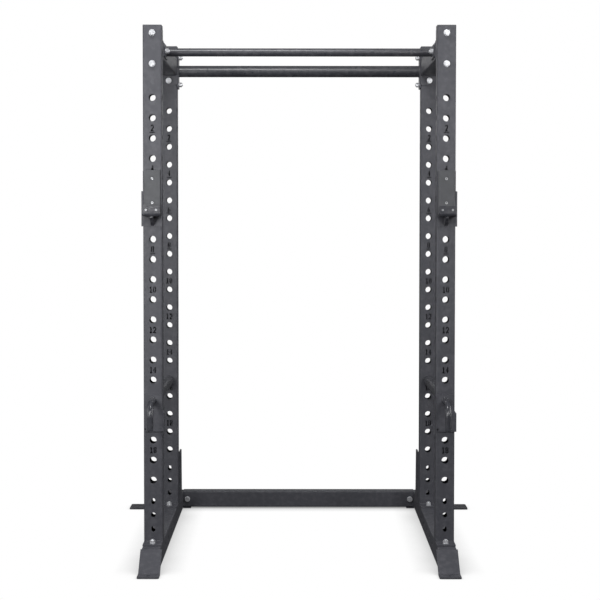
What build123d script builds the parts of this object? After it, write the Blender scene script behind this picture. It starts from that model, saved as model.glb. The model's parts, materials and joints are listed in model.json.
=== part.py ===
"""Power cage with J-cups and pin-and-pipe safeties. Millimetres, +Z up, front is -Y.

Origin: on the floor, at the centre of the footprint.
"""
import os
from math import atan2, cos, degrees, sin

from build123d import *

os.makedirs("parts", exist_ok=True)

# ---- driving dimensions -------------------------------------------------
cage_width = 1238.0  # over the uprights
cage_depth = 982.0  # front face of the front upright to front face of the rear upright
cage_height = 2133.0
base_length = 1824.0  # front lip to rear end of the rails
front_overhang = 364.0  # front lip to the uprights
tube = 75.0
wall = 3.0
corner = 6.0  # outer corner radius of the tube
plate = 6.0  # flanges, brackets and feet
cap_height = 3.0
gap = 0.3  # clearance between the frame and what pulls off it

hole_pitch = 80.0
hole_count = 20
hole_radius = 13.5
top_hole_z = 1846.6
numbers = range(2, 20, 2)

front_y = front_overhang - base_length / 2
rear_y = front_y + cage_depth
end_y = base_length / 2
upright_x = (cage_width - tube) / 2
inner_x = upright_x - tube / 2
outer_x = cage_width / 2
rail_top = tube
foot_z = rail_top + plate  # where the uprights stand

beam_z = 2041.0
beam_flange_height = 160.0
beam_bolt_offset = 61.0

thin_bar_radius = 16.5
thin_bar_y = front_y + 210
thin_plate_length = 160.0
thin_plate_height = 52.0
fat_bar_radius = 25.5
fat_bar_y = rear_y + tube / 2
fat_bar_z = 2023.2
fat_plate_height = 158.0
bar_bolt_offset = 60.0

crossmember_y = front_y + 1368  # its front face
crossmember_z = 6.0  # its underside
crossmember_bolt_x = 524.0

large = {"shank": 7.0, "across": 21.0, "head": 8.8, "nut": 12.8, "washer": 13.0, "thick": 2.5}
small = {"shank": 6.0, "across": 18.0, "head": 7.5, "nut": 10.8, "washer": 11.0, "thick": 2.5}
thread_stand_out = 4.0
large_hole = large["shank"] + 0.75
small_hole = small["shank"] + 0.5
anchor_radius = 7.0
anchor_inset = 35.0  # from the edge of a foot
plate_corner = 8.0
bracket_corner = 5.0

jcup_pin_z = top_hole_z - 5 * hole_pitch
jcup_bottom = 1337.5
jcup_top = 1560.0
jcup_flange_top = 1477.0
jcup_tray_z = 1378.0  # underside of the tray
jcup_lip_top = 1419.0
jcup_reach = 85.0
jcup_steel = 8.0
jcup_liner_thickness = 12.0
wrap_depth = 45.0  # how far a bracket's side flange reaches along the upright

safety_hole_z = top_hole_z - 15 * hole_pitch
rod_radius = 12.0
rod_z = safety_hole_z - hole_radius + rod_radius + gap
handle_reach = 155.0
handle_bend = 50.0
handle_end_z = 541.0
safety_bottom = 521.5
safety_top = 669.8
safety_flange_top = 603.5
safety_chamfer = 9.0  # cut off the top corner of the side flange
pipe_radius = 21.2
pipe_wall = 3.2
pipe_end_gap = 5.0

sides = (("left", -1), ("right", 1))
pin_radius = hole_radius - 1.0


def save(piece, label):
    """Name a finished piece and write it."""
    piece.part.label = label
    export_step(piece.part, f"parts/{label}.step")


# ---- numerals -----------------------------------------------------------
numeral_height = 26.0
numeral_width = 13.0
stroke = 4.6
bridge = 1.6  # metal left so that no island falls out of a numeral
digit_gap = 1.6
underline_width = 22.0  # under a single digit
underline_height = 3.4
underline_drop = 4.5


def ring(width, height, z):
    """An oval ring, one stroke thick, centred at height z."""
    with Locations((0, z)):
        Ellipse(width / 2, height / 2)
        Ellipse(width / 2 - stroke, height / 2 - stroke, mode=Mode.SUBTRACT)


def bar(start, end):
    """A straight stroke between two points."""
    run = Vector(*end) - Vector(*start)
    middle = Vector(*start) + run / 2
    with Locations((middle.X, middle.Y)):
        Rectangle(run.length + stroke * 0.5, stroke, rotation=degrees(atan2(run.Y, run.X)))


def numeral(digit):
    """A stencil numeral, centred on the origin."""
    half_w = (numeral_width - stroke) / 2
    half_h = (numeral_height - stroke) / 2
    loop = (numeral_height + stroke) / 2
    loop_z = (numeral_height - loop) / 2
    with BuildSketch() as shape:
        if digit == "0":
            ring(numeral_width, numeral_height, 0)
        elif digit == "1":
            bar((0, -half_h), (0, half_h))
            bar((-half_w * 0.7, half_h * 0.7), (0, half_h))
            bar((-half_w * 0.8, -half_h), (half_w * 0.8, -half_h))
        elif digit == "2":
            ring(numeral_width, loop, loop_z)
            with Locations((-half_w, loop_z - loop / 2)):
                Rectangle(numeral_width, loop, mode=Mode.SUBTRACT)
            bar((half_w * 0.9, loop_z - stroke), (-half_w, -half_h))
            bar((-half_w, -half_h), (half_w, -half_h))
        elif digit == "4":
            bar((half_w * 0.4, -half_h), (half_w * 0.4, half_h))
            bar((-half_w, -half_h * 0.3), (half_w, -half_h * 0.3))
            bar((-half_w, -half_h * 0.3), (half_w * 0.3, half_h))
            with Locations((-half_w * 0.35, 0)):
                Rectangle(bridge, numeral_height, mode=Mode.SUBTRACT)
        elif digit == "6":
            ring(numeral_width, loop, -loop_z)
            bar((-half_w, -loop_z), (half_w * 0.2, half_h))
        else:
            ring(numeral_width, loop, loop_z)
            ring(numeral_width, loop, -loop_z)
        if digit in "068":
            Rectangle(bridge, numeral_height * 2, mode=Mode.SUBTRACT)
    return shape.sketch


numerals = {digit: numeral(digit) for digit in "012468"}


def number_sketch(number):
    """The digits of one position number side by side, or one digit with a line under it."""
    digits = str(number)
    spacing = numeral_width + digit_gap
    with BuildSketch() as label:
        for i, digit in enumerate(digits):
            with Locations(((i - (len(digits) - 1) / 2) * spacing, 0)):
                add(numerals[digit])
        if len(digits) == 1:
            with Locations((0, -numeral_height / 2 - underline_drop)):
                Rectangle(underline_width, underline_height)
    return label.sketch


# ---- fasteners ----------------------------------------------------------
# Each fastener has its bearing face at z = 0: heads and nuts stand above it.
def hex_bolt(kind, grip):
    """A hexagon bolt whose shank is long enough for the grip, a washer pair and a nut."""
    length = grip + 2 * kind["thick"] + kind["nut"] + thread_stand_out
    with BuildPart() as bolt:
        with BuildSketch():
            RegularPolygon(kind["across"] / 2, 6, major_radius=False)
        extrude(amount=kind["head"])
        chamfer(bolt.faces().sort_by(Axis.Z)[-1].edges(), 1.0)
        with BuildSketch():
            Circle(kind["shank"])
        extrude(amount=-length)
        chamfer(bolt.faces().sort_by(Axis.Z)[0].edges(), 1.2)
    return bolt.part


def hex_nut(kind):
    """A hexagon nut, standing on z = 0."""
    with BuildPart() as nut:
        with BuildSketch():
            RegularPolygon(kind["across"] / 2, 6, major_radius=False)
        extrude(amount=kind["nut"])
        chamfer(nut.faces().sort_by(Axis.Z)[-1].edges(), 1.0)
        Hole(kind["shank"] + 0.15)
    return nut.part


def washer(kind):
    """A flat washer, standing on z = 0."""
    with BuildPart() as ring_part:
        with BuildSketch():
            Circle(kind["washer"])
            Circle(kind["shank"] + 0.5, mode=Mode.SUBTRACT)
        extrude(amount=kind["thick"])
    return ring_part.part


def facing(point, direction):
    """A place at a point, with its z axis along a direction."""
    return Plane(origin=point, z_dir=direction).location


def group(part, places, label):
    """Copies of one fastener at every place, as separate solids of one node."""
    with BuildPart() as copies:
        with Locations(*places):
            add(part)
    save(copies, label)


def step_along(point, direction, distance):
    """A point moved along a direction."""
    moved = Vector(*point) + Vector(*direction) * distance
    return (moved.X, moved.Y, moved.Z)


def joint_places(points, direction, kind, grip):
    """Places of bolts, nuts and washers that clamp a grip.

    Each point is where the bolt's axis enters the clamped stack, and direction points from
    there out of the stack, towards the bolt's head.
    """
    back = tuple(-value for value in direction)
    bolts = [facing(step_along(p, direction, kind["thick"]), direction) for p in points]
    nuts = [facing(step_along(p, back, grip + kind["thick"]), back) for p in points]
    washers = [facing(p, direction) for p in points]
    washers += [facing(step_along(p, back, grip), back) for p in points]
    return bolts, nuts, washers


# ---- uprights -----------------------------------------------------------
beam_bolt_zs = (beam_z - beam_bolt_offset, beam_z + beam_bolt_offset)
fat_bolt_zs = (fat_bar_z - bar_bolt_offset, fat_bar_z + bar_bolt_offset)
foot_holes = ((242.5, 23.0), (187.5, 0.0), (131.5, 23.0))  # height, slot length (0 is round)
foot_slot_width = 15.0
foot_hole_radius = 9.5
cap_plug = 15.0  # how deep an end cap reaches into its tube
cap_play = 0.4
plug_width = tube - 2 * wall - cap_play


def upright(label, x, y, has_bar_bolts):
    """A drilled square tube with its position numbers cut in its front face."""
    holes_z = top_hole_z - hole_pitch * (hole_count - 1) / 2
    front = Plane(origin=(x, y, 0), x_dir=(1, 0, 0), z_dir=(0, -1, 0))
    across = Plane(origin=(x, y + tube / 2, 0), x_dir=(0, 1, 0), z_dir=(1, 0, 0))
    with BuildPart() as post:
        with BuildSketch(Plane(origin=(x, y + tube / 2, foot_z))):
            RectangleRounded(tube, tube, corner)
            RectangleRounded(tube - 2 * wall, tube - 2 * wall, corner - wall, mode=Mode.SUBTRACT)
        extrude(amount=cage_height - cap_height - foot_z)
        with BuildSketch(front):
            with Locations((0, holes_z)):
                with GridLocations(0, hole_pitch, 1, hole_count):
                    Circle(hole_radius)
            with Locations(*[(0, z) for z in beam_bolt_zs]):
                Circle(large_hole)
            for z, slot in foot_holes:
                with Locations((0, z)):
                    if slot:
                        SlotOverall(slot, foot_slot_width, rotation=90)
                    else:
                        Circle(foot_hole_radius)
        extrude(amount=-tube, mode=Mode.SUBTRACT)
        with BuildSketch(across):
            with Locations((0, holes_z)):
                with GridLocations(0, hole_pitch, 1, hole_count):
                    Circle(hole_radius)
            if has_bar_bolts:
                with Locations(*[(0, z) for z in fat_bolt_zs]):
                    Circle(small_hole)
        extrude(amount=tube / 2, both=True, mode=Mode.SUBTRACT)
        with BuildSketch(front):
            for number in numbers:
                with Locations((0, top_hole_z - hole_pitch * (number - 0.5))):
                    add(number_sketch(number))
        extrude(amount=-wall, mode=Mode.SUBTRACT)
    save(post, label)


for side, sign in sides:
    upright(f"upright_front_{side}", sign * upright_x, front_y, False)
    upright(f"upright_rear_{side}", sign * upright_x, rear_y, True)

upright_centres = [(sign * upright_x, y + tube / 2) for side, sign in sides for y in (front_y, rear_y)]

with BuildPart() as upright_caps:
    with BuildSketch(Plane.XY.offset(cage_height - cap_height)):
        with Locations(*upright_centres):
            RectangleRounded(tube, tube, corner)
    extrude(amount=cap_height)
    fillet(upright_caps.faces().group_by(Axis.Z)[-1].edges(), cap_height / 2)
    with BuildSketch(Plane.XY.offset(cage_height - cap_height)):
        with Locations(*upright_centres):
            RectangleRounded(plug_width, plug_width, corner - wall)
    extrude(amount=-cap_plug)
save(upright_caps, "upright_caps")

# ---- base ---------------------------------------------------------------
flange_ahead = 85.0  # flange in front of an upright
bolt_ahead = 46.0  # foot bolt in front of an upright, and the same behind it
rear_flange_behind = 120.0
foot_cut_top = front_y - 169.5  # where the rail's slanted front end starts, at its top
foot_cut_bottom = front_y - 289.5
rail_hole_y = front_y + 182
rail_hole_pitch = 170.0
rail_hole_length = 30.0
rail_hole_height = 18.0
rail_hole_count = 5

flange_spans = {
    "front": (front_y - flange_ahead, front_y + tube + flange_ahead),
    "rear": (rear_y - flange_ahead, rear_y + tube + rear_flange_behind),
}
foot_bolt_ys = [y + d for y in (front_y, rear_y) for d in (-bolt_ahead, tube + bolt_ahead)]

for side, sign in sides:
    for end, (start_y, stop_y) in flange_spans.items():
        bolt_ys = [y for y in foot_bolt_ys if start_y < y < stop_y]
        with BuildPart() as foot_flange:
            with BuildSketch(Plane.XY.offset(rail_top)):
                with Locations((sign * upright_x, (start_y + stop_y) / 2)):
                    RectangleRounded(tube, stop_y - start_y, bracket_corner)
                with Locations(*[(sign * upright_x, y) for y in bolt_ys]):
                    Circle(small_hole, mode=Mode.SUBTRACT)
            extrude(amount=plate)
        save(foot_flange, f"foot_flange_{end}_{side}")

    with BuildPart() as base_rail:
        with BuildSketch(Plane.XZ.offset(-end_y)):
            with Locations((sign * upright_x, tube / 2)):
                RectangleRounded(tube, tube, corner)
                RectangleRounded(tube - 2 * wall, tube - 2 * wall, corner - wall, mode=Mode.SUBTRACT)
        extrude(amount=end_y - foot_cut_bottom)
        with BuildSketch(Plane.YZ.offset(sign * upright_x)):
            with BuildLine():
                Polyline(
                    (foot_cut_bottom, 0),
                    (foot_cut_top, rail_top),
                    (foot_cut_bottom - 10, rail_top + 10),
                    close=True,
                )
            make_face()
            with Locations((rail_hole_y + rail_hole_pitch * (rail_hole_count - 1) / 2, tube / 2)):
                with GridLocations(rail_hole_pitch, 0, rail_hole_count, 1):
                    SlotOverall(rail_hole_length, rail_hole_height)
        extrude(amount=tube / 2, both=True, mode=Mode.SUBTRACT)
        with BuildSketch(Plane.XY.offset(rail_top)):
            with Locations(*[(sign * upright_x, y) for y in foot_bolt_ys]):
                Circle(small_hole)
        extrude(amount=-wall, mode=Mode.SUBTRACT)
    save(base_rail, f"base_rail_{side}")

    foot_width = 84.0
    foot_x = sign * (outer_x - foot_width / 2)
    slope_run = foot_cut_top - foot_cut_bottom
    slope = atan2(rail_top, slope_run)
    crest = (foot_cut_top - plate * sin(slope), rail_top + plate * cos(slope))
    toe_y = crest[0] - (crest[1] - plate) * slope_run / rail_top
    with BuildPart() as front_foot:
        with BuildSketch(Plane.YZ.offset(foot_x)):
            with BuildLine():
                Polyline(
                    (foot_cut_top, rail_top),
                    crest,
                    (toe_y, plate),
                    (-end_y, plate),
                    (-end_y, 0),
                    (foot_cut_bottom, 0),
                    close=True,
                )
            make_face()
        extrude(amount=foot_width / 2, both=True)
        fillet(front_foot.edges().filter_by(Axis.Z).group_by(Axis.Y)[0], plate_corner)
        with BuildSketch(Plane.XY):
            with Locations((foot_x, -end_y + anchor_inset)):
                Circle(anchor_radius)
        extrude(amount=plate, mode=Mode.SUBTRACT)
    save(front_foot, f"front_foot_{side}")

    wing_width = 174.0
    wing_length = 129.0
    with BuildPart() as rear_foot:
        with BuildSketch(Plane.XY):
            with Locations((sign * (outer_x + wing_width / 2), end_y - wing_length / 2)):
                Rectangle(wing_width, wing_length)
            with Locations((sign * (outer_x + wing_width - anchor_inset), end_y - wing_length / 2)):
                Circle(anchor_radius, mode=Mode.SUBTRACT)
        extrude(amount=plate)
        outboard = rear_foot.edges().filter_by(Axis.Z).sort_by(Axis.X)
        fillet(outboard[-2:] if sign > 0 else outboard[:2], plate_corner)
    save(rear_foot, f"rear_foot_{side}")

    stub = tube - 2 * wall - 1
    stub_wall = 4.0
    stub_length = 70.0
    tab_width = 36.0
    with BuildPart() as crossmember_seat:
        with BuildSketch(Plane.YZ.offset(sign * inner_x)):
            with Locations((crossmember_y + tube / 2, crossmember_z + tube / 2)):
                RectangleRounded(stub, stub, corner - wall)
                Rectangle(stub - 2 * stub_wall, stub - 2 * stub_wall, mode=Mode.SUBTRACT)
        extrude(amount=-sign * stub_length)
        with BuildSketch(Plane.XZ.offset(-crossmember_y)):
            with Locations((sign * crossmember_bolt_x, crossmember_z + tube / 2)):
                Circle(large_hole)
        extrude(amount=-tube, mode=Mode.SUBTRACT)
        with BuildSketch(Plane.XY):
            with Locations((sign * (inner_x - tab_width / 2), crossmember_y + tube / 2)):
                Rectangle(tab_width, tube)
        extrude(amount=crossmember_z)
    save(crossmember_seat, f"crossmember_seat_{side}")

    gusset_lap = 20.0  # how far it laps the upright's inner side
    gusset_depth = 97.0
    gusset_foot = 121.0
    gusset_top = 308.0
    gusset_toe = 30.0  # height of its upright rear edge
    gusset_corner = 10.0
    with BuildPart() as rear_gusset:
        with BuildSketch(Plane.YZ.offset(sign * inner_x)):
            with BuildLine():
                Polyline(
                    (rear_y + tube - gusset_lap, rail_top),
                    (rear_y + tube - gusset_lap, gusset_top),
                    (rear_y + tube + gusset_depth, gusset_top),
                    (rear_y + tube + gusset_foot, foot_z + gusset_toe),
                    (rear_y + tube + gusset_foot, rail_top),
                    close=True,
                )
            make_face()
        extrude(amount=-sign * plate)
        fillet(rear_gusset.edges().filter_by(Axis.X).sort_by(SortBy.DISTANCE)[-1:], gusset_corner)
    save(rear_gusset, f"rear_gusset_{side}")

with BuildPart() as rail_end_caps:
    with BuildSketch(Plane.XZ.offset(-end_y)):
        with Locations(*[(sign * upright_x, tube / 2) for side, sign in sides]):
            RectangleRounded(plug_width, plug_width, corner - wall)
    extrude(amount=cap_plug)
save(rail_end_caps, "rail_end_caps")

with BuildPart() as rear_crossmember:
    with BuildSketch(Plane.YZ.offset(-inner_x)):
        with Locations((crossmember_y + tube / 2, crossmember_z + tube / 2)):
            RectangleRounded(tube, tube, corner)
            RectangleRounded(tube - 2 * wall, tube - 2 * wall, corner - wall, mode=Mode.SUBTRACT)
    extrude(amount=2 * inner_x)
    with BuildSketch(Plane.XZ.offset(-crossmember_y)):
        with Locations(*[(sign * crossmember_bolt_x, crossmember_z + tube / 2) for side, sign in sides]):
            Circle(large_hole)
    extrude(amount=-tube, mode=Mode.SUBTRACT)
save(rear_crossmember, "rear_crossmember")

# ---- top ----------------------------------------------------------------
beam_start = front_y + tube + plate
beam_stop = rear_y - plate
thin_bolt_ys = [thin_bar_y - bar_bolt_offset, thin_bar_y + bar_bolt_offset]

for side, sign in sides:
    with BuildPart() as side_beam:
        with BuildSketch(Plane.XZ.offset(-beam_stop)):
            with Locations((sign * upright_x, beam_z)):
                RectangleRounded(tube, tube, corner)
                RectangleRounded(tube - 2 * wall, tube - 2 * wall, corner - wall, mode=Mode.SUBTRACT)
        extrude(amount=beam_stop - beam_start)
        with BuildSketch(Plane.YZ.offset(sign * upright_x)):
            with Locations(*[(y, beam_z) for y in thin_bolt_ys]):
                Circle(small_hole)
        extrude(amount=tube / 2, both=True, mode=Mode.SUBTRACT)
    save(side_beam, f"side_beam_{side}")

    with BuildPart() as beam_flanges:
        for flange_y in (beam_start, rear_y):
            with BuildSketch(Plane.XZ.offset(-flange_y)):
                with Locations((sign * upright_x, beam_z)):
                    RectangleRounded(tube, beam_flange_height, bracket_corner)
                with Locations(*[(sign * upright_x, z) for z in beam_bolt_zs]):
                    Circle(large_hole, mode=Mode.SUBTRACT)
            extrude(amount=plate)
    save(beam_flanges, f"side_beam_flanges_{side}")

    with BuildPart() as thin_bar_plate:
        with BuildSketch(Plane.YZ.offset(sign * inner_x)):
            with Locations((thin_bar_y, beam_z)):
                RectangleRounded(thin_plate_length, thin_plate_height, plate_corner)
            with Locations(*[(y, beam_z) for y in thin_bolt_ys]):
                Circle(small_hole, mode=Mode.SUBTRACT)
        extrude(amount=-sign * plate)
    save(thin_bar_plate, f"thin_bar_plate_{side}")

    with BuildPart() as fat_bar_plate:
        with BuildSketch(Plane.YZ.offset(sign * inner_x)):
            with Locations((fat_bar_y, fat_bar_z)):
                RectangleRounded(tube, fat_plate_height, plate_corner)
            with Locations(*[(fat_bar_y, z) for z in fat_bolt_zs]):
                Circle(small_hole, mode=Mode.SUBTRACT)
        extrude(amount=-sign * plate)
    save(fat_bar_plate, f"fat_bar_plate_{side}")

bar_length = 2 * (inner_x - plate)
with BuildPart() as pull_up_bar_thin:
    with BuildSketch(Plane.YZ.offset(-bar_length / 2)):
        with Locations((thin_bar_y, beam_z)):
            Circle(thin_bar_radius)
            Circle(thin_bar_radius - wall, mode=Mode.SUBTRACT)
    extrude(amount=bar_length)
save(pull_up_bar_thin, "pull_up_bar_thin")

with BuildPart() as pull_up_bar_fat:
    with BuildSketch(Plane.YZ.offset(-bar_length / 2)):
        with Locations((fat_bar_y, fat_bar_z)):
            Circle(fat_bar_radius)
            Circle(fat_bar_radius - wall, mode=Mode.SUBTRACT)
    extrude(amount=bar_length)
save(pull_up_bar_fat, "pull_up_bar_fat")

# ---- fasteners of the frame --------------------------------------------
beam_points = []
for side, sign in sides:
    for y in (front_y, beam_stop):
        beam_points += [(sign * upright_x, y, z) for z in beam_bolt_zs]
beam_bolts, beam_nuts, beam_washers = joint_places(beam_points, (0, -1, 0), large, tube + plate)
group(hex_bolt(large, tube + plate), beam_bolts, "beam_bolts")
group(hex_nut(large), beam_nuts, "beam_nuts")

cross_points = [(sign * crossmember_bolt_x, crossmember_y, crossmember_z + tube / 2) for side, sign in sides]
cross_bolts, cross_nuts, cross_washers = joint_places(cross_points, (0, -1, 0), large, tube)
group(hex_bolt(large, tube), cross_bolts, "crossmember_bolts")
group(hex_nut(large), cross_nuts, "crossmember_nuts")
group(washer(large), beam_washers + cross_washers, "large_washers")

bar_bolts = []
bar_nuts = []
small_washers = []
for side, sign in sides:
    bar_points = [(sign * outer_x, y, beam_z) for y in thin_bolt_ys]
    bar_points += [(sign * outer_x, fat_bar_y, z) for z in fat_bolt_zs]
    bolts, nuts, washers = joint_places(bar_points, (sign, 0, 0), small, tube + plate)
    bar_bolts += bolts
    bar_nuts += nuts
    small_washers += washers
group(hex_bolt(small, tube + plate), bar_bolts, "bar_bolts")
group(hex_nut(small), bar_nuts, "bar_nuts")

foot_grip = wall + plate
foot_points = [(sign * upright_x, y, rail_top - wall) for side, sign in sides for y in foot_bolt_ys]
foot_nut_z = foot_z + small["thick"]
foot_bolts = [facing(point, (0, 0, -1)) for point in foot_points]
foot_nuts = [facing((x, y, foot_nut_z), (0, 0, 1)) for x, y, z in foot_points]
small_washers += [facing((x, y, foot_z), (0, 0, 1)) for x, y, z in foot_points]
group(hex_bolt(small, foot_grip - small["thick"]), foot_bolts, "foot_bolts")
group(hex_nut(small), foot_nuts, "foot_nuts")
group(washer(small), small_washers, "small_washers")


# ---- J-cups -------------------------------------------------------------
def side_view(x):
    """A sketch plane seen from the +X side: its x is Y, its y is Z."""
    return Plane(origin=(x, front_y, 0), x_dir=(0, 1, 0), z_dir=(1, 0, 0))


def front_view(y):
    """A sketch plane seen from the front, at a depth behind the uprights' front faces."""
    return Plane(origin=(0, front_y + y, 0), x_dir=(1, 0, 0), z_dir=(0, -1, 0))


jcup_face = -gap - plate  # front face of the bracket
liner_face = jcup_face - jcup_liner_thickness
jcup_screws_back = (1431.3, 1526.3)
jcup_screws_lip = 1403.0
jcup_screw_offset = 20.0  # of the lip's screws, from the middle
jcup_width = 70.0
jcup_pin_length = 50.0
rib_thickness = 12.0
rib_setback = 14.0  # from the lip's front face
hook_bend = 12.0
liner_width = 65.0
lip_liner = 8.0  # thickness of the tray liner
screw_recess = 4.0
back_screw_radius = 5.0
lip_screw_radius = 4.0
bend_radius = 5.0
wrap_corner = 12.0
flange_near = tube / 2 + 0.5  # inner face of a side flange, from the upright's centre
flange_far = flange_near + plate

for side, sign in sides:
    centre = sign * upright_x
    with BuildPart() as jcup_bracket:
        with BuildSketch(front_view(-gap)):
            with Locations((centre, (jcup_bottom + jcup_top) / 2)):
                RectangleRounded(tube, jcup_top - jcup_bottom, bracket_corner)
            with Locations((centre + sign * flange_far / 2, (jcup_bottom + jcup_flange_top) / 2)):
                Rectangle(flange_far, jcup_flange_top - jcup_bottom)
        extrude(amount=plate)
        with BuildSketch(front_view(-gap)):
            with Locations((centre + sign * (flange_near + plate / 2), (jcup_bottom + jcup_flange_top) / 2)):
                Rectangle(plate, jcup_flange_top - jcup_bottom)
        extrude(amount=-wrap_depth)
        bend_edge = jcup_bracket.edges().filter_by(Axis.Z).group_by(Axis.Y)[0].sort_by(Axis.X)
        fillet(bend_edge[-1] if sign > 0 else bend_edge[0], bend_radius)
        flange_ends = jcup_bracket.edges().filter_by(Axis.X).group_by(Axis.Y)[-1]
        fillet(flange_ends, wrap_corner)
    save(jcup_bracket, f"jcup_bracket_{side}")

    with BuildPart() as jcup_hook:
        with BuildSketch(side_view(centre)):
            with BuildLine():
                Polyline(
                    (jcup_face, jcup_tray_z),
                    (-jcup_reach, jcup_tray_z),
                    (-jcup_reach, jcup_lip_top),
                    (-jcup_reach + jcup_steel, jcup_lip_top),
                    (-jcup_reach + jcup_steel, jcup_tray_z + jcup_steel),
                    (jcup_face, jcup_tray_z + jcup_steel),
                    close=True,
                )
            make_face()
        extrude(amount=jcup_width / 2, both=True)
        bends = jcup_hook.edges().filter_by(Axis.X)
        fillet(bends.group_by(Axis.Z)[0].sort_by(Axis.Y)[0], hook_bend)
        fillet(jcup_hook.edges().filter_by(Axis.Y).group_by(Axis.Z)[-1], 6)
        with BuildSketch(side_view(centre)):
            with BuildLine():
                Polyline(
                    (jcup_face, jcup_bottom + 3),
                    (jcup_face, jcup_tray_z),
                    (-jcup_reach + rib_setback, jcup_tray_z),
                    (-jcup_reach + rib_setback, jcup_tray_z - rib_thickness / 2),
                    close=True,
                )
            make_face()
        extrude(amount=rib_thickness / 2, both=True)
    save(jcup_hook, f"jcup_hook_{side}")

    with BuildPart() as jcup_pin:
        with BuildSketch(front_view(-gap)):
            with Locations((centre, jcup_pin_z)):
                Circle(pin_radius)
        extrude(amount=-jcup_pin_length)
        chamfer(jcup_pin.faces().sort_by(Axis.Y)[-1].edges(), 3)
    save(jcup_pin, f"jcup_pin_{side}")

    liner_bottom = jcup_tray_z + jcup_steel
    with BuildPart() as jcup_back_liner:
        with BuildSketch(front_view(jcup_face)):
            with Locations((centre, (liner_bottom + jcup_top) / 2)):
                Rectangle(liner_width, jcup_top - liner_bottom)
        extrude(amount=jcup_liner_thickness)
        front_edges = jcup_back_liner.faces().sort_by(Axis.Y)[0].edges()
        fillet(front_edges.filter_by(Axis.Z) + front_edges.filter_by(Axis.X).sort_by(Axis.Z)[-1:], 3)
        with BuildSketch(front_view(liner_face)):
            with Locations(*[(centre, z) for z in jcup_screws_back]):
                Circle(back_screw_radius + 1.5)
        extrude(amount=-screw_recess, mode=Mode.SUBTRACT)
    save(jcup_back_liner, f"jcup_back_liner_{side}")

    lip_inside = -jcup_reach + jcup_steel
    with BuildPart() as jcup_tray_liner:
        with BuildSketch(side_view(centre)):
            with BuildLine():
                Polyline(
                    (liner_face, liner_bottom),
                    (lip_inside, liner_bottom),
                    (lip_inside, jcup_lip_top),
                    (lip_inside + lip_liner, jcup_lip_top),
                    (lip_inside + lip_liner, liner_bottom + lip_liner),
                    (liner_face, liner_bottom + lip_liner),
                    close=True,
                )
            make_face()
        extrude(amount=jcup_width / 2 - 2, both=True)
        inside = jcup_tray_liner.edges().filter_by(Axis.X)
        top_of_tray = liner_bottom + lip_liner
        inside = inside.filter_by_position(Axis.Z, top_of_tray - 1, top_of_tray + 1)
        fillet(inside.sort_by(Axis.Y)[0], 6)
    save(jcup_tray_liner, f"jcup_tray_liner_{side}")

    with BuildPart() as jcup_screws:
        with BuildSketch(front_view(liner_face + screw_recess)):
            with Locations(*[(centre, z) for z in jcup_screws_back]):
                Circle(back_screw_radius)
                RegularPolygon(back_screw_radius / 2, 6, mode=Mode.SUBTRACT)
        extrude(amount=3.5)
        with BuildSketch(front_view(-jcup_reach)):
            with Locations(
                (centre - jcup_screw_offset, jcup_screws_lip),
                (centre + jcup_screw_offset, jcup_screws_lip),
            ):
                Circle(lip_screw_radius)
                RegularPolygon(lip_screw_radius / 2, 6, mode=Mode.SUBTRACT)
        extrude(amount=2.5)
    save(jcup_screws, f"jcup_screws_{side}")


# ---- pin-and-pipe safeties ---------------------------------------------
# Both safeties are the same part: each has its side flange on the right.
rod_tip = cage_depth + tube + 16
rod_play = 0.05
corner_hole_radius = 4.0
rod_chamfer = 2.0
corner_hole = (-31, safety_bottom + 9)  # from the upright's centre

for side, sign in sides:
    centre = sign * upright_x
    with BuildPart() as safety_bracket:
        with BuildSketch(front_view(-gap)):
            with Locations((centre, (safety_bottom + safety_top) / 2)):
                RectangleRounded(tube - 2, safety_top - safety_bottom, bracket_corner)
            with Locations((centre + flange_far / 2, (safety_bottom + safety_flange_top) / 2)):
                Rectangle(flange_far, safety_flange_top - safety_bottom)
            with Locations((centre, rod_z)):
                Circle(rod_radius + rod_play, mode=Mode.SUBTRACT)
            with Locations((centre + corner_hole[0], corner_hole[1])):
                Circle(corner_hole_radius, mode=Mode.SUBTRACT)
        extrude(amount=plate)
        with BuildSketch(front_view(-gap)):
            with Locations((centre + flange_near + plate / 2, (safety_bottom + safety_flange_top) / 2)):
                Rectangle(plate, safety_flange_top - safety_bottom)
        extrude(amount=-wrap_depth)
        flange_corner = safety_bracket.edges().filter_by(Axis.Y).sort_by(Axis.X)[-2:].sort_by(Axis.Z)[-1]
        chamfer(flange_corner, safety_chamfer, plate)
        fillet(safety_bracket.edges().filter_by(Axis.X).group_by(Axis.Y)[-1], wrap_corner)
    save(safety_bracket, f"safety_bracket_{side}")

    with BuildPart() as safety_rod:
        with BuildLine(side_view(centre)) as rod_path:
            FilletPolyline(
                (rod_tip, rod_z),
                (-handle_reach, rod_z),
                (-handle_reach, handle_end_z),
                radius=handle_bend,
            )
        with BuildSketch(Plane(origin=(centre, front_y + rod_tip, rod_z), z_dir=(0, -1, 0))):
            Circle(rod_radius)
        sweep(path=rod_path.wires()[0])
        chamfer(safety_rod.faces().sort_by(Axis.Y)[-1].edges(), rod_chamfer)
        chamfer(safety_rod.faces().sort_by(Axis.Z)[0].edges(), rod_chamfer)
    save(safety_rod, f"safety_rod_{side}")

    pipe_z = rod_z + rod_radius + gap - (pipe_radius - pipe_wall)
    with BuildPart() as safety_pipe:
        with BuildSketch(front_view(tube + pipe_end_gap)):
            with Locations((centre, pipe_z)):
                Circle(pipe_radius)
                Circle(pipe_radius - pipe_wall, mode=Mode.SUBTRACT)
        extrude(amount=-(cage_depth - tube - 2 * pipe_end_gap))
        chamfer(safety_pipe.edges().filter_by(GeomType.CIRCLE), 0.8)
    save(safety_pipe, f"safety_pipe_{side}")
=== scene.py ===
"""Looks of the power cage: powder coat, zinc fasteners, plastic liners, weld beads, floor and light."""
import json
import math

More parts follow.
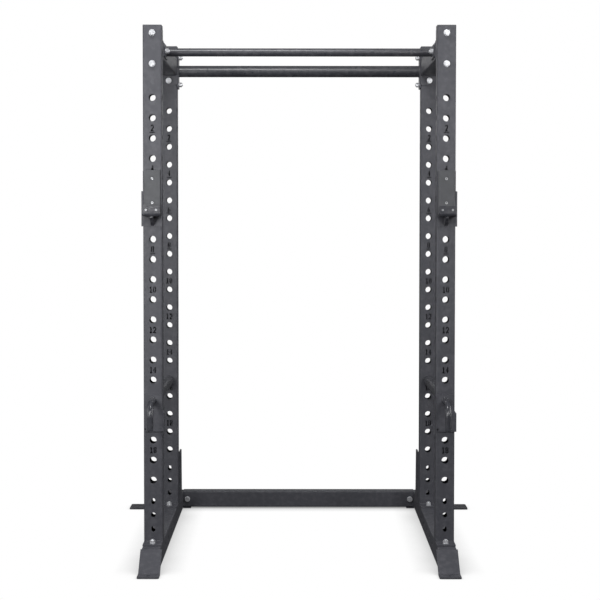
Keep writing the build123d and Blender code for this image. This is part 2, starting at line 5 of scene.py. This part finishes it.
import bmesh
import bpy
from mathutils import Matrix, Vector


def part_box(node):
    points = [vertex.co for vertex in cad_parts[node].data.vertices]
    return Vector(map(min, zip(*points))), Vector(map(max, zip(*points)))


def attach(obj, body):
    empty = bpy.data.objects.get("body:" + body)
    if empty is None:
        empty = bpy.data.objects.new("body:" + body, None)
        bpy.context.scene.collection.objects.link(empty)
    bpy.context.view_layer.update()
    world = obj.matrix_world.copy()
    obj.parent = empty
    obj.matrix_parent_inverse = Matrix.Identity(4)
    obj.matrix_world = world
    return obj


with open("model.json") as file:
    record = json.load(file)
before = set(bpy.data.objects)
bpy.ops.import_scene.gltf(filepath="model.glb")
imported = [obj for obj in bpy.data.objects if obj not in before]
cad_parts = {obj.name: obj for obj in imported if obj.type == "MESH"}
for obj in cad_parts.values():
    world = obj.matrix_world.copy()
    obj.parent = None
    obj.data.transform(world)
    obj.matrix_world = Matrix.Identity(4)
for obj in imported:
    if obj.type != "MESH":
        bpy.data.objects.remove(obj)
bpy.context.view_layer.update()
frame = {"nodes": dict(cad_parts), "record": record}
MM = 0.001
SIDES = (("left", -1), ("right", 1))

# ---- places, from the frame ---------------------------------------------
FRONT_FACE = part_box("upright_front_right")[0].y
REAR_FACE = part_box("upright_rear_right")[1].y

# ---- camera: places in metres, angles in radians, lens and sensor in mm ----
CAMERA_DISTANCE = 7.545  # in front of the front uprights
CAMERA_SIDE = -0.0127
CAMERA_HEIGHT = 1.3963
CAMERA_PITCH = 0.0464
CAMERA_ROLL = -0.0006
CAMERA_LENS = 114.175
CAMERA_SENSOR = 36.0
CAMERA_SHIFT = 0.0065
CAMERA_CLIP_END = 60.0


def make_camera():
    """The camera, pitched slightly down, a hair left of the middle."""
    data = bpy.data.cameras.new("camera")
    data.lens = CAMERA_LENS
    data.sensor_width = CAMERA_SENSOR
    data.shift_x = CAMERA_SHIFT
    data.clip_end = CAMERA_CLIP_END
    camera = bpy.data.objects.new("camera", data)
    camera.location = (CAMERA_SIDE, FRONT_FACE - CAMERA_DISTANCE, CAMERA_HEIGHT)
    camera.rotation_euler = (math.pi / 2 - CAMERA_PITCH, CAMERA_ROLL, 0.0)
    bpy.context.scene.collection.objects.link(camera)
    bpy.context.scene.camera = camera


# ---- materials: noise scales in features per metre, heights in metres -----
MOTTLE = 9.0
MOTTLE_LIGHTEN = 1.08
WEAR_PATCHES = 45.0
WEAR_AMOUNT = 0.5
COAT_CLOUDS = 60.0
COAT_ROUGH = (0.42, 0.58)
GRAIN = 900.0
GRAIN_HEIGHT = 0.25 * MM
PEEL = GRAIN / 4
PEEL_HEIGHT = 0.4 * MM
# Painted shade: reach and darkness of the shade painted into the coat's hollows
PAINTED_SHADE_REACH = 0.10
PAINTED_SHADE_DARKNESS = 0.15

ZINC_CLOUDS = 160.0
ZINC_DARKEN = 0.72
ZINC_ROUGH_CLOUDS = 300.0
ZINC_GRAIN = 700.0
ZINC_GRAIN_HEIGHT = 0.08 * MM
ZINC_METALLIC = 0.55

SCUFF = 30.0
SCUFF_LIGHTEN = 1.25
PLASTIC_CLOUDS = 90.0
PLASTIC_ROUGH = (0.45, 0.6)
PLASTIC_GRAIN = 500.0
PLASTIC_GRAIN_HEIGHT = 0.12 * MM


def scaled(colour, factor):
    """A colour made lighter or darker."""
    return tuple(c * factor for c in colour)


class Nodes:
    """Short helpers for one material's node tree."""

    def __init__(self, name):
        self.material = bpy.data.materials.new(name)
        self.material.use_nodes = True
        self.tree = self.material.node_tree
        self.shader = self.tree.nodes["Principled BSDF"]

    def add(self, kind, **values):
        node = self.tree.nodes.new(kind)
        for key, value in values.items():
            if hasattr(node, key):
                setattr(node, key, value)
            else:
                node.inputs[key.replace("_", " ")].default_value = value
        return node

    def link(self, out_socket, in_socket):
        self.tree.links.new(out_socket, in_socket)

    def noise(self, scale, detail=3.0, roughness=0.5):
        """Noise on the object's own coordinates."""
        place = self.add("ShaderNodeTexCoord")
        texture = self.add("ShaderNodeTexNoise", Scale=scale, Detail=detail, Roughness=roughness)
        self.link(place.outputs["Object"], texture.inputs["Vector"])
        return texture.outputs["Fac"]

    def spread(self, socket, low, high, from_low=0.3, from_high=0.7):
        """A value remapped to a range."""
        node = self.add("ShaderNodeMapRange")
        node.inputs["From Min"].default_value = from_low
        node.inputs["From Max"].default_value = from_high
        node.inputs["To Min"].default_value = low
        node.inputs["To Max"].default_value = high
        self.link(socket, node.inputs["Value"])
        return node.outputs["Result"]

    def mix(self, factor, first, second):
        """A colour between two colours."""
        node = self.add("ShaderNodeMix", data_type="RGBA")
        self.link(factor, node.inputs["Factor"])
        for socket, colour in ((node.inputs[6], first), (node.inputs[7], second)):
            if isinstance(colour, bpy.types.NodeSocket):
                self.link(colour, socket)
            else:
                socket.default_value = (*colour, 1.0)
        return node.outputs[2]

    def bump(self, socket, distance, strength, normal=None):
        """A bump from a height."""
        node = self.add("ShaderNodeBump", Distance=distance, Strength=strength)
        self.link(socket, node.inputs["Height"])
        if normal is not None:
            self.link(normal, node.inputs["Normal"])
        return node.outputs["Normal"]

    def edge_wear(self):
        """How much a convex edge is rubbed, from the surface's curvature and a noise."""
        geometry = self.add("ShaderNodeNewGeometry")
        worn = self.spread(geometry.outputs["Pointiness"], 0.0, 1.0, 0.52, 0.62)
        patches = self.spread(self.noise(WEAR_PATCHES), 0.0, WEAR_AMOUNT, 0.45, 0.75)
        node = self.add("ShaderNodeMath", operation="MULTIPLY")
        self.link(worn, node.inputs[0])
        self.link(patches, node.inputs[1])
        return node.outputs["Value"]


def powder_coat(name, colour, worn, rough=COAT_ROUGH):
    """Fine-texture powder coat: orange-peel grain, faint mottling, paler rubbed edges, and painted shade:
    the colour darkened in hollows, creases and under parts from an occlusion reading.
    """
    n = Nodes(name)
    mottle = n.spread(n.noise(MOTTLE, 4.0), 0.0, 1.0)
    coat = n.mix(mottle, colour, scaled(colour, MOTTLE_LIGHTEN))
    coat = n.mix(n.edge_wear(), coat, worn)
    # Painted shade: an occlusion reading darkens the coat in hollows, tube insides, creases and under
    # parts, standing in for the shade that falls there.
    painted_shade_openness = n.add("ShaderNodeAmbientOcclusion", samples=6, Distance=PAINTED_SHADE_REACH)
    painted_shade_factor = n.spread(painted_shade_openness.outputs["AO"], 0.0, 1.0, 0.05, 0.50)
    coat = n.mix(painted_shade_factor, scaled(colour, PAINTED_SHADE_DARKNESS), coat)
    n.link(coat, n.shader.inputs["Base Color"])
    n.link(n.spread(n.noise(COAT_CLOUDS), *rough), n.shader.inputs["Roughness"])
    grain = n.bump(n.noise(GRAIN, 2.0), GRAIN_HEIGHT, 0.55)
    n.link(n.bump(n.noise(PEEL, 1.0), PEEL_HEIGHT, 0.25, grain), n.shader.inputs["Normal"])
    return n.material


def zinc(name, colour, rough):
    """Bright zinc plate with faint clouding."""
    n = Nodes(name)
    cloud = n.spread(n.noise(ZINC_CLOUDS), 0.0, 1.0, 0.35, 0.65)
    n.link(n.mix(cloud, colour, scaled(colour, ZINC_DARKEN)), n.shader.inputs["Base Color"])
    n.link(n.spread(n.noise(ZINC_ROUGH_CLOUDS), *rough), n.shader.inputs["Roughness"])
    n.link(n.bump(n.noise(ZINC_GRAIN), ZINC_GRAIN_HEIGHT, 0.4), n.shader.inputs["Normal"])
    n.shader.inputs["Metallic"].default_value = ZINC_METALLIC
    return n.material


def plastic(name, colour):
    """Sheet plastic, faintly scuffed."""
    n = Nodes(name)
    scuff = n.spread(n.noise(SCUFF, 5.0, 0.65), 0.0, 1.0, 0.35, 0.7)
    n.link(n.mix(scuff, colour, scaled(colour, SCUFF_LIGHTEN)), n.shader.inputs["Base Color"])
    n.link(n.spread(n.noise(PLASTIC_CLOUDS), *PLASTIC_ROUGH), n.shader.inputs["Roughness"])
    n.link(n.bump(n.noise(PLASTIC_GRAIN), PLASTIC_GRAIN_HEIGHT, 0.4), n.shader.inputs["Normal"])
    return n.material


COATS = {
    "frame_coat": powder_coat("frame_coat", (0.055, 0.056, 0.067), (0.11, 0.11, 0.125)),
    "bar_coat": powder_coat("bar_coat", (0.042, 0.043, 0.051), (0.10, 0.10, 0.11), rough=(0.26, 0.34)),
    "rod_coat": powder_coat("rod_coat", (0.042, 0.043, 0.051), (0.12, 0.12, 0.13), rough=(0.18, 0.26)),
    "zinc_steel": zinc("zinc_steel", (0.76, 0.77, 0.80), (0.25, 0.4)),
    "liner_screw": zinc("liner_screw", (0.55, 0.56, 0.58), (0.3, 0.45)),
    "liner_plastic": plastic("liner_plastic", (0.058, 0.060, 0.066)),
    "cap_plastic": plastic("cap_plastic", (0.04, 0.04, 0.043)),
}


def dress_nodes():
    """Gives every CAD node the material of its slot."""
    slots = {row["node"]: row["material_slot"] for row in frame["record"]["subparts"]}
    for name, piece in frame["nodes"].items():
        piece.data.materials.clear()
        piece.data.materials.append(COATS[slots[name]])


# ---- stage ---------------------------------------------------------------
FLOOR_SIZE = 60.0
FLOOR_DROP = 0.5 * MM  # keeps the floor just under the feet
# Painted shadow: reach and grey of the contact shadow painted into the floor's glow
PAINTED_SHADOW_REACH = 0.11
PAINTED_SHADOW_GREY = 0.32


def make_floor():
    """A plain white glowing floor; its only shading is a close contact shadow painted into the glow from
    an occlusion reading, not cast by the lamps.
    """
    bpy.ops.mesh.primitive_plane_add(size=FLOOR_SIZE, location=(0.0, 0.0, -FLOOR_DROP))
    floor = bpy.context.object
    floor.name = "floor"
    n = Nodes("floor_white")
    # Painted shadow: an occlusion reading greys the floor's glow next to the object, standing in for a
    # contact shadow that the lamps don't cast on it.
    shade = n.add("ShaderNodeAmbientOcclusion", samples=12, Distance=PAINTED_SHADOW_REACH)
    painted_contact_shadow = n.mix(shade.outputs["AO"], (PAINTED_SHADOW_GREY,) * 3, (1.0, 1.0, 1.0))
    n.link(painted_contact_shadow, n.shader.inputs["Emission Color"])
    n.shader.inputs["Emission Strength"].default_value = 1.0
    n.shader.inputs["Base Color"].default_value = (0.0, 0.0, 0.0, 1.0)
    n.shader.inputs["Specular IOR Level"].default_value = 0.0
    floor.data.materials.append(n.material)
    floor.visible_diffuse = False
    floor.visible_glossy = False
    floor.visible_shadow = False


# Name, place, target, width and height in metres, power in watts
LIGHTS = (
    ("key_left", (-1.25, -2.7, 1.5), (-0.58, -0.55, 1.3), 0.5, 0.9, 25.0),
    ("key_left_wide", (-2.0, -1.9, 1.3), (-0.58, -0.55, 1.2), 1.0, 1.4, 13.0),
    ("key_right", (1.75, -4.4, 2.25), (0.58, -0.55, 1.2), 0.7, 1.1, 27.0),
    ("key_right_near", (1.25, -2.7, 1.8), (0.58, -0.55, 1.5), 0.5, 0.9, 7.0),
    ("side_right", (2.2, -1.4, 2.0), (0.58, -0.55, 1.8), 0.8, 1.2, 8.0),
    ("front_high", (0.2, -5.0, 3.6), (0.0, -0.9, 0.0), 1.6, 1.2, 36.0),
    ("top_left", (-0.35, -1.5, 3.75), (-0.3, -0.2, 2.0), 1.2, 0.6, 38.0),
    ("top", (0.0, 0.2, 4.2), (0.0, 0.2, 0.0), 2.4, 2.4, 9.0),
    ("rear", (0.0, 4.0, 2.6), (0.0, 0.3, 1.2), 2.4, 1.8, 14.0),
    ("fill_left", (-4.0, 0.4, 1.6), (0.0, 0.2, 1.2), 2.0, 2.4, 30.0),
    ("fill_right", (4.0, 0.4, 1.6), (0.0, 0.2, 1.2), 2.0, 2.4, 60.0),
)
AMBIENT = 0.06
AMBIENT_COLOUR = (0.97, 0.98, 1.0, 1.0)


def make_light():
    """Soft boxes around the object, in front of a white surround."""
    world = bpy.data.worlds.new("surround")
    world.use_nodes = True
    tree = world.node_tree
    ambient = tree.nodes["Background"]
    ambient.inputs["Color"].default_value = AMBIENT_COLOUR
    ambient.inputs["Strength"].default_value = AMBIENT
    white = tree.nodes.new("ShaderNodeBackground")
    white.inputs["Color"].default_value = (1.0, 1.0, 1.0, 1.0)
    seen = tree.nodes.new("ShaderNodeLightPath")
    pick = tree.nodes.new("ShaderNodeMixShader")
    tree.links.new(seen.outputs["Is Camera Ray"], pick.inputs["Fac"])
    tree.links.new(ambient.outputs["Background"], pick.inputs[1])
    tree.links.new(white.outputs["Background"], pick.inputs[2])
    tree.links.new(pick.outputs["Shader"], tree.nodes["World Output"].inputs["Surface"])
    bpy.context.scene.world = world
    for name, place, target, width, height, power in LIGHTS:
        data = bpy.data.lights.new(name, "AREA")
        data.shape = "RECTANGLE"
        data.size = width
        data.size_y = height
        data.energy = power
        lamp = bpy.data.objects.new(name, data)
        lamp.location = place
        lamp.rotation_euler = (Vector(target) - Vector(place)).to_track_quat("-Z", "Y").to_euler()
        lamp.visible_camera = False
        bpy.context.scene.collection.objects.link(lamp)


# ---- weld beads ----------------------------------------------------------
RIPPLE = 2.4 * MM  # from one ripple to the next
RIPPLE_NARROW = 0.82
TAPER = 0.35  # of the radius, at an open end
BEAD_SIDES = 8
CIRCLE_POINTS = 36
TUBE_CORNER = 6 * MM
CORNER_STEPS = 3


def resample(points, closed):
    """Points at even steps of one ripple along a path."""
    path = [Vector(p) for p in points]
    if closed:
        path.append(path[0])
    out = []
    for start, stop in zip(path, path[1:]):
        count = max(1, round((stop - start).length / RIPPLE))
        out += [start.lerp(stop, i / count) for i in range(count)]
    return out if closed else out + [path[-1]]


def bead_into(mesh, points, radius, closed=False):
    """Adds one rippled bead, whose radius swells and sinks from step to step and tapers at open ends."""
    path = resample(points, closed)
    rings = []
    for i, point in enumerate(path):
        before = path[i - 1] if closed or i else point
        after = path[(i + 1) % len(path)] if closed or i + 1 < len(path) else point
        along = (after - before).normalized()
        side = along.orthogonal().normalized()
        up = along.cross(side)
        size = radius * (1.0 if i % 2 else RIPPLE_NARROW)
        if not closed and i in (0, len(path) - 1):
            size *= TAPER
        ring = []
        for k in range(BEAD_SIDES):
            angle = k * math.tau / BEAD_SIDES
            ring.append(mesh.verts.new(point + size * (math.cos(angle) * side + math.sin(angle) * up)))
        rings.append(ring)
    pairs = list(zip(rings, rings[1:]))
    if closed:
        pairs.append((rings[-1], rings[0]))
    for first, second in pairs:
        shift = min(range(BEAD_SIDES), key=lambda m: (first[0].co - second[m].co).length)
        second = second[shift:] + second[:shift]
        for k in range(BEAD_SIDES):
            around = (k + 1) % BEAD_SIDES
            mesh.faces.new((first[k], first[around], second[around], second[k]))
    if not closed:
        mesh.faces.new(rings[0])
        mesh.faces.new(rings[-1])


def piece_from(mesh, name, coat, body):
    """One new piece from a bmesh, riding on a body."""
    bmesh.ops.recalc_face_normals(mesh, faces=mesh.faces)
    data = bpy.data.meshes.new(name)
    mesh.to_mesh(data)
    mesh.free()
    data.polygons.foreach_set("use_smooth", [True] * len(data.polygons))
    data.materials.append(COATS[coat])
    piece = bpy.data.objects.new(name, data)
    bpy.context.scene.collection.objects.link(piece)
    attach(piece, body)


def beads(name, body, paths, radius, coat="frame_coat"):
    """Several beads as one piece; each path is (points, closed)."""
    mesh = bmesh.new()
    for points, closed in paths:
        bead_into(mesh, points, radius, closed)
    piece_from(mesh, name, coat, body)


def line(start, stop):
    """A straight open path."""
    return [Vector(start), Vector(stop)], False


def circle(centre, radius, first, second):
    """A closed path round a circle in the plane of two unit vectors."""
    centre, first, second = Vector(centre), Vector(first), Vector(second)
    turn = math.tau / CIRCLE_POINTS
    points = []
    for i in range(CIRCLE_POINTS):
        points.append(centre + radius * (math.cos(i * turn) * first + math.sin(i * turn) * second))
    return points, True


def tube_outline(x, y, z, half):
    """A closed path round a tube's rounded square section that faces Y."""
    straight = half - TUBE_CORNER
    points = []
    for sx, sz, start in ((1, 1, 0.0), (-1, 1, 0.25), (-1, -1, 0.5), (1, -1, 0.75)):
        for i in range(CORNER_STEPS + 1):
            angle = math.tau * (start + 0.25 * i / CORNER_STEPS)
            across = sx * straight + TUBE_CORNER * math.cos(angle)
            up = sz * straight + TUBE_CORNER * math.sin(angle)
            points.append(Vector((x + across, y, z + up)))
    return points, True


def weld_beam(side):
    """Round both ends of a side beam."""
    low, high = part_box(f"side_beam_{side}")
    x, z, half = (low.x + high.x) / 2, (low.z + high.z) / 2, (high.z - low.z) / 2
    ends = [tube_outline(x, y, z, half) for y in (low.y, high.y)]
    beads(f"weld_beam_{side}", "frame", ends, 3.2 * MM)


def weld_feet(side):
    """Along the front and back of the uprights, on their foot flanges."""
    inset = 7 * MM
    feet = []
    for end in ("front", "rear"):
        low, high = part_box(f"upright_{end}_{side}")
        for y in (low.y, high.y):
            feet.append(line((low.x + inset, y, low.z), (high.x - inset, y, low.z)))
    beads(f"weld_feet_{side}", "frame", feet, 3.4 * MM)


def weld_gusset(side, sign):
    """Where the rear gusset laps the upright, and along its foot."""
    bottom_inset, top_inset, front_top_inset, foot_inset = 12 * MM, 6 * MM, 3 * MM, 6 * MM
    low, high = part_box(f"rear_gusset_{side}")
    inner = high.x if sign > 0 else low.x
    bottom = low.z + bottom_inset
    flange_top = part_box(f"foot_flange_rear_{side}")[1].z
    gusset = [
        line((inner, REAR_FACE, bottom), (inner, REAR_FACE, high.z - top_inset)),
        line((inner, low.y, bottom), (inner, low.y, high.z - front_top_inset)),
        line((inner, REAR_FACE + foot_inset, flange_top), (inner, high.y - foot_inset, flange_top)),
    ]
    beads(f"weld_gusset_{side}", "frame", gusset, 2.6 * MM)


def weld_bars(side, sign):
    """Round the pull-up bars, on their end plates."""
    rings = []
    for bar in ("pull_up_bar_thin", "pull_up_bar_fat"):
        low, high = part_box(bar)
        middle = (low + high) / 2
        middle.x = high.x if sign > 0 else low.x
        rings.append(circle(middle, (high.z - low.z) / 2, (0, 1, 0), (0, 0, 1)))
    beads(f"weld_bars_{side}", "frame", rings, 3.0 * MM, "bar_coat")


def weld_front_foot(side, sign):
    """Across the crest of a front foot and down the rail's slant cut."""
    crest_inset, crest_behind, slope_bottom, slope_top = 6 * MM, 1 * MM, 12 * MM, 10 * MM
    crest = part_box(f"front_foot_{side}")[1].y
    low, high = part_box(f"base_rail_{side}")
    inner = low.x if sign > 0 else high.x
    slope = Vector((0, crest - low.y, high.z)).normalized()
    seam = crest + crest_behind
    foot = [
        line((low.x + crest_inset, seam, high.z), (high.x - crest_inset, seam, high.z)),
        line(Vector((inner, low.y, 0.0)) + slope * slope_bottom,
             Vector((inner, crest, high.z)) - slope * slope_top),
    ]
    beads(f"weld_front_foot_{side}", "frame", foot, 2.6 * MM)


def weld_rear_foot(side, sign):
    """Along the rail's outer side, on the rear foot."""
    inset = 6 * MM
    low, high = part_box(f"rear_foot_{side}")
    rail_low, rail_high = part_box(f"base_rail_{side}")
    edge = rail_high.x if sign > 0 else rail_low.x
    foot = [line((edge, low.y + inset, high.z), (edge, high.y - inset, high.z))]
    beads(f"weld_rear_foot_{side}", "frame", foot, 3.0 * MM)


def weld_jcup(side):
    """Under a J-cup's tray, on the bracket and on both sides of the rib."""
    tray_thickness, rib, tray_inset = 8 * MM, 6 * MM, 5 * MM
    rib_bottom_inset, corner_gap, lip_gap = 6 * MM, 4 * MM, 18 * MM
    plate_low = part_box(f"jcup_bracket_{side}")[0]
    low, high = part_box(f"jcup_hook_{side}")
    x = (low.x + high.x) / 2
    y = plate_low.y
    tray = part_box(f"jcup_back_liner_{side}")[0].z - tray_thickness
    hook = [
        line((low.x + tray_inset, y, tray), (x - rib, y, tray)),
        line((x + rib, y, tray), (high.x - tray_inset, y, tray)),
    ]
    for rib_x in (x - rib, x + rib):
        hook.append(line((rib_x, y, plate_low.z + rib_bottom_inset), (rib_x, y, tray - corner_gap)))
        hook.append(line((rib_x, y - corner_gap, tray), (rib_x, low.y + lip_gap, tray)))
    beads(f"weld_jcup_{side}", f"jcup_{side}", hook, 2.4 * MM)


def weld_rod(side):
    """Round a safety rod, on its bracket."""
    low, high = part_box(f"safety_rod_{side}")
    radius = (high.x - low.x) / 2
    centre = ((low.x + high.x) / 2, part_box(f"safety_bracket_{side}")[0].y, high.z - radius)
    ring = circle(centre, radius, (1, 0, 0), (0, 0, 1))
    beads(f"weld_rod_{side}", f"safety_{side}", [ring], 3.0 * MM, "rod_coat")


def make_welds():
    """Weld beads wherever one plate or tube is welded to another."""
    for side, sign in SIDES:
        weld_beam(side)
        weld_feet(side)
        weld_gusset(side, sign)
        weld_bars(side, sign)
        weld_front_foot(side, sign)
        weld_rear_foot(side, sign)
        weld_jcup(side)
        weld_rod(side)


make_camera()
make_light()
make_floor()
dress_nodes()
make_welds()
bpy.context.scene.view_settings.view_transform = "Standard"
